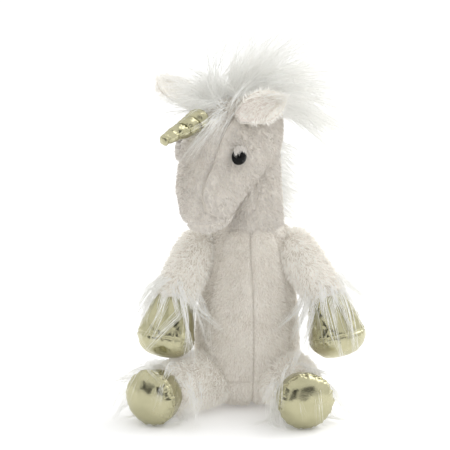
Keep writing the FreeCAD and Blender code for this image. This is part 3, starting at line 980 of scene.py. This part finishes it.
def brow(look, _):
    """Longer pile above an eye hangs over the top of the dome."""
    return look * 0.6 + UP * 1.4, look * 0.7 - UP * 0.8 + FORWARD * 0.2, -look * 0.6 - UP * 0.4, unit(look)


def rim(look, level):
    """A low fringe beside the left eye hides its dome from the camera's side."""
    return -look * 0.5, look - UP * 0.15, -UP * 0.2, level


for i, (side, sign) in enumerate(SIDES.items()):
    eye_tufts("brow_pile_" + side, 90 + i, 260, sign, (50.0, 130.0), (5.2, 8.2), (4.2, 6.4), 0.45, brow)
eye_tufts("eye_rim_pile_left", 95, 380, -1.0, (-62.0, 62.0), (5.0, 8.5), (3.2, 4.8), 0.5, rim)


def limb_pile(limb, side, start, end, seed, sag):
    """Fluff on an arm or a leg, combed towards its end and short beside the floor."""
    axis = unit(end - start)
    limit = np.linalg.norm(end - start) + 2.0

    def keep(p):
        scale = np.clip((limit - (p - start) @ axis) / 3.0, 0.0, 1.0)
        return scale * np.clip((p[:, 2] - 1.5) / 2.5, 0.25, 1.0)

    def comb(p):
        return np.tile(axis - UP * sag, (len(p), 1))

    pile(limb + "_pile_" + side, limb + "_" + side, Surface(bpy.data.objects[limb + "_skin_" + side]),
         seed, DENSITY, FLUFF_LENGTH, TUFT_WIDTH, comb, keep, lift=0.55, clump=6.0, slots=FLUFF)


def ear_pile(side, seed):
    """Fluff on the outer cloth of an ear, and short pile on its lining."""
    pad, lining = EAR_SKIN[side]
    along = unit(EARS[side][0] - pivot("ear_fold_" + side))
    inside = Surface(lining).co

    def keep(p):
        near = np.array([np.min(((inside - q) ** 2).sum(1)) for q in p])
        return np.clip((np.sqrt(near) - 1.0) / 0.8, 0.0, 1.0)

    def comb(p):
        return np.tile(along, (len(p), 1))

    pile("ear_pile_" + side, "ear_" + side, Surface(pad), 30 + seed, DENSITY * 1.5, EAR_FLUFF[side],
         TUFT_WIDTH, comb, keep, swirl_by=0.9, slots=FLUFF)
    pile("ear_lining_pile_" + side, "ear_" + side, Surface(lining), 40 + seed, DENSITY * 1.4, 1.6, 0.4,
         comb, slots=LINING_PILE)


for i, side in enumerate(SIDES):
    limb_pile("arm", side, *ARM[side][:2], 10 + i, 0.0)
    limb_pile("leg", side, *LEG[side][:2], 20 + i, 0.3)
    ear_pile(side, i)

# ---------------------------------------------------------------- long hair

HAIR_SCALE = 1.0


def hair_paths(root, start, end_pull, length, rng, points=10, curl=0.12, wave=0.06):
    """Paths that leave along start and bend towards end_pull, with loose curls."""
    n = len(root)
    t = np.linspace(0.0, 1.0, points)[None, :, None]
    length = np.broadcast_to(length, n)[:, None, None]
    start = unit(start)[:, None]
    side = rng.normal(size=(n, 1, 3))
    phase = rng.uniform(0.0, 2.0 * math.pi, (n, 1, 1))
    path = root[:, None] + length * (start * t + np.asarray(end_pull)[:, None] * t**2 * 0.5)
    path = path + side * length * curl * t**2 * 0.5
    path = path + np.cross(start, side) * length * wave * np.sin(t * 5.0 + phase) * t
    return path


REACH = (np.array([-106.5, -95.5, 0.6]), np.array([102.0, 106.5, 309.5]))
SOFT_REACH = np.array([14.0, 14.0, 6.0])


def within_reach(paths):
    """Hair that goes far out bends back softly, so no lock leaves the space the toy may take."""
    low, high = REACH[0] + SOFT_REACH, REACH[1] - SOFT_REACH
    over = np.maximum(paths - high, 0.0)
    paths = np.where(over > 0.0, REACH[1] - SOFT_REACH * np.exp(-over / SOFT_REACH), paths)
    under = np.maximum(low - paths, 0.0)
    return np.where(under > 0.0, REACH[0] + SOFT_REACH * np.exp(-under / SOFT_REACH), paths)


def hair_piece(name, body, node, paths, width, rng):
    obj = strands(name, within_reach(paths), width, HAIR, rng)
    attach(obj, body)
    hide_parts(node)


def lock_paths(rng, root, start, pull, length, per, spread=2.2, gather=0.75, points=10, stray=0.09):
    """Locks of hair: many paths that follow one guide each and draw together at the tip."""
    length = np.asarray(length)
    guide = hair_paths(root, start, pull, length, rng, points, curl=0.25, wave=0.08)
    k = np.repeat(np.arange(len(root)), per)
    t = np.linspace(0.0, 1.0, points)[None, :, None]
    jitter = rng.normal(size=(len(k), 1, 3)) * spread
    loose = rng.normal(size=(len(k), 1, 3)) * (length[k] * stray)[:, None, None]
    size = rng.uniform(0.6, 1.08, len(k))[:, None, None]
    path = guide[k][:, :1] + (guide[k] - guide[k][:, :1]) * size
    return path + jitter * (1.0 - gather * t) + loose * t**2


CREST = [
    # locks, back and front, across, start, pull, shortest, longest
    (48, (-34.0, 14.0), 8.0, X * 1.0 + UP * 0.75, X * 0.5 - UP * 0.9, 48.0, 86.0),
    (30, (-20.0, 16.0), 10.0, X * 0.2 + UP * 1.15, X * 0.5 - UP * 0.25, 36.0, 64.0),
    (40, (-8.0, 18.0), 10.0, UP * 0.95 - X * 0.6, -X * 0.6 - UP * 0.8, 34.0, 58.0),
    (32, (0.0, 22.0), 14.0, FORWARD * 0.75 + UP * 0.35 + SIDEWAYS * 0.15,
     FORWARD * 0.3 - UP * 1.4, 26.0, 48.0),
    (16, (-40.0, -16.0), 10.0, X * 0.8 - FORWARD * 0.5, X * 0.2 - UP * 1.3, 50.0, 88.0),
]
CREST_WISPS = 64


def crest():
    """Forelock and crest: thick at the crown, blown to the right, with thin wisps that stand up."""
    rng = np.random.default_rng(50)
    per = int(19 * HAIR_SCALE)
    parts = []
    for count, reach, wide, start, pull, low, high in CREST:
        f = rng.uniform(*reach, count)
        w = rng.normal(0.0, wide * 0.6, count)
        top = 243.5 - 0.014 * (f + 12.0) ** 2 - 0.02 * w**2
        root = HEAD_MIDDLE + FORWARD * f[:, None] + SIDEWAYS * w[:, None] + UP * (top - 4.0)[:, None]
        lift = start + rng.normal(size=(count, 3)) * 0.28
        drop = pull + rng.normal(size=(count, 3)) * 0.22
        parts.append(lock_paths(rng, root, lift, drop, rng.uniform(low, high, count), per))
    root = head_at(0, 0, 238.0) + FORWARD * rng.uniform(-32.0, 16.0, CREST_WISPS)[:, None]
    root = root + SIDEWAYS * rng.normal(0.0, 5.0, CREST_WISPS)[:, None]
    lift = UP * 1.25 + X * rng.uniform(-0.5, 1.2, CREST_WISPS)[:, None]
    lift = lift + rng.normal(size=(CREST_WISPS, 3)) * 0.2
    drop = X * 0.7 - UP * 0.3 + rng.normal(size=(CREST_WISPS, 3)) * 0.3
    parts.append(lock_paths(rng, root, lift, drop, rng.uniform(62.0, 96.0, CREST_WISPS), 5, 2.0, 0.2))
    paths = np.concatenate(parts)
    hair_piece("crest_hair", "head", "forelock", paths, rng.uniform(0.28, 0.55, len(paths)), rng)


crest()


FEATHER_LOCKS = 40


def feather(name, body, node, base, axis, radius, seed, length, gravity, outward, floor=None):
    """A ring of long locks that falls over the top of a hoof."""
    rng = np.random.default_rng(seed)
    n = FEATHER_LOCKS
    axis = unit(axis)
    across, along = side_axes(axis)
    a = np.linspace(0.0, 2.0 * math.pi, n, endpoint=False) + rng.uniform(-0.1, 0.1, n)
    out = across * np.cos(a)[:, None] + along * np.sin(a)[:, None]
    root = base + out * radius + axis * rng.uniform(-16.0, 0.0, n)[:, None]
    start = out * outward + axis * 0.85 + rng.normal(size=(n, 3)) * 0.25
    pull = np.array([0.0, 0.0, -gravity]) - out * 0.3 + rng.normal(size=(n, 3)) * 0.35
    size = length * rng.uniform(0.35, 1.0, n) ** 1.3
    paths = lock_paths(rng, root, start, pull, size, int(15 * HAIR_SCALE), 1.9, 0.72, 9, 0.035)
    if floor is not None:
        paths[..., 2] = np.maximum(paths[..., 2], floor)
    hair_piece(name, body, node, paths, rng.uniform(0.2, 0.36, len(paths)), rng)


for i, side in enumerate(SIDES):
    _, wrist, sole = ARM[side]
    feather("arm_feather_hair_" + side, "arm_" + side, "arm_feather_" + side, wrist, sole - wrist, 12.5,
            60 + i, 62.0, 0.7, 0.62)
    _, ankle, foot = LEG[side]
    feather("leg_feather_hair_" + side, "leg_" + side, "leg_feather_" + side, ankle, foot - ankle, 16.5,
            70 + i, 60.0, 1.6, 0.8, floor=0.6)


def neck_mane():
    """The strip of long hair down the back of the neck."""
    rng = np.random.default_rng(80)
    n = int(900 * HAIR_SCALE)
    z = rng.uniform(146.0, 205.0, n)
    a = rng.normal(math.radians(56.0), 0.35, n)
    out = np.stack([np.cos(a), np.sin(a), np.zeros(n)], -1)
    root = neck_foot * np.array([1.0, 1.0, 0.0]) + out * 23.0 + UP * z[:, None]
    start = out * 0.8 + X * 0.3 - UP * 0.2 + rng.normal(size=(n, 3)) * 0.2
    pull = -UP * 0.9 + rng.normal(size=(n, 3)) * 0.2
    paths = hair_paths(root, start, pull, rng.uniform(15.0, 38.0, n), rng, 9)
    hair_piece("neck_mane_hair", "neck", "neck_mane", paths, rng.uniform(0.22, 0.42, n), rng)


neck_mane()


def tail():
    """The sewn stub and the long hair that covers it and lies on the floor behind."""
    root = pivot("tail_lift")
    low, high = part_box("tail_hair")
    tip = np.array([low[0] / MM + 3.0, high[1] / MM - 4.0, 6.0])
    line = [root - (0, 4, -2), root - (0, 3, -1), root + (0, 3, -1), root + (-3, 12, -6),
            root + (-5, 19, -10), root + (-5.5, 20, -10.5)]
    radii = [1.0, 3.5, 4.5, 4.5, 3.0, 0.6]
    skin("tail_skin", "tail", limb_grid(line, radii, 24, 24), ["tail_stub"], swell=0.6, voxel=1.6)
    rng = np.random.default_rng(90)
    n = int(1500 * HAIR_SCALE)
    t = rng.uniform(0.0, 1.0, n)
    root_points = root + np.array([-4.0, 17.0, -9.0]) * t[:, None] + rng.normal(size=(n, 3)) * 1.8
    aim = unit(tip - root)
    start = aim * 1.0 + rng.normal(size=(n, 3)) * 0.28 + UP * 0.2
    pull = -UP * 0.5 + rng.normal(size=(n, 3)) * 0.22
    paths = hair_paths(root_points, start, pull, rng.uniform(25.0, 52.0, n), rng, 10)
    paths[..., 2] = np.maximum(paths[..., 2], 0.7)
    hair_piece("tail_long_hair", "tail", "tail_hair", paths, rng.uniform(0.25, 0.45, n), rng)


tail()

# ---------------------------------------------------------------- studio

LAMP = np.array([1.0, 0.6, 1.3])
LAMP_AIM = np.array([0.0, 0.0, 0.12])
CARDS = {"left": -58.0, "middle": -12.0, "right": 27.0}
CARD_DISTANCE = 1.2
CAMERA_AIM = np.array([-0.017, -0.03, 0.1467])
CAMERA_DISTANCE = 1.5
CAMERA_RISE = math.radians(12.0)


def surroundings():
    """A pale floor in a white room, with a large soft lamp behind on the right."""
    bpy.ops.mesh.primitive_plane_add(size=6.0, location=(0.0, 0.0, 0.0))
    floor = bpy.context.object
    floor.name = "floor"
    white = new_material("floor_white", (0.95, 0.95, 0.95), 0.9, specular=0.1)[0]
    lighten([white], (1.0, 1.0, 1.0), 0.15)
    floor.data.materials.append(white)
    world = bpy.data.worlds.new("studio")
    bpy.context.scene.world = world
    world.use_nodes = True
    world.node_tree.nodes["Background"].inputs["Color"].default_value = (1.0, 1.0, 1.0, 1.0)
    world.node_tree.nodes["Background"].inputs["Strength"].default_value = 1.07
    light = bpy.data.lights.new("key", "AREA")
    light.size = 1.2
    light.energy = 12.0
    lamp = bpy.data.objects.new("key", light)
    lamp.location = LAMP
    lamp.rotation_euler = mathutils.Vector(LAMP_AIM - LAMP).to_track_quat("-Z", "Y").to_euler()
    bpy.context.scene.collection.objects.link(lamp)


def dark_cards():
    """Black cards that the camera doesn't see, for the dark reflections in the gold."""
    black = new_material("card_black", (0.03, 0.03, 0.03), 0.9, specular=0.1)[0]
    for name, azimuth in CARDS.items():
        turn = math.radians(azimuth)
        place = (CARD_DISTANCE * math.sin(turn), -CARD_DISTANCE * math.cos(turn), 0.34)
        bpy.ops.mesh.primitive_plane_add(size=0.62, location=place, rotation=(math.radians(90.0), 0.0, turn))
        card = bpy.context.object
        card.name = "dark_card_" + name
        card.data.materials.append(black)
        card.visible_camera = False


def view():
    """A long lens in front of the toy, a little above it."""
    camera = bpy.data.cameras.new("camera")
    camera.sensor_width = 36.0
    camera.lens = 160.0
    back = np.array([0.0, -math.cos(CAMERA_RISE), math.sin(CAMERA_RISE)])
    holder = bpy.data.objects.new("camera", camera)
    holder.location = CAMERA_AIM + CAMERA_DISTANCE * back
    holder.rotation_euler = (math.radians(90.0) - CAMERA_RISE, 0.0, 0.0)
    bpy.context.scene.collection.objects.link(holder)
    bpy.context.scene.camera = holder
    bpy.context.scene.view_settings.view_transform = "Standard"


surroundings()
dark_cards()
view()
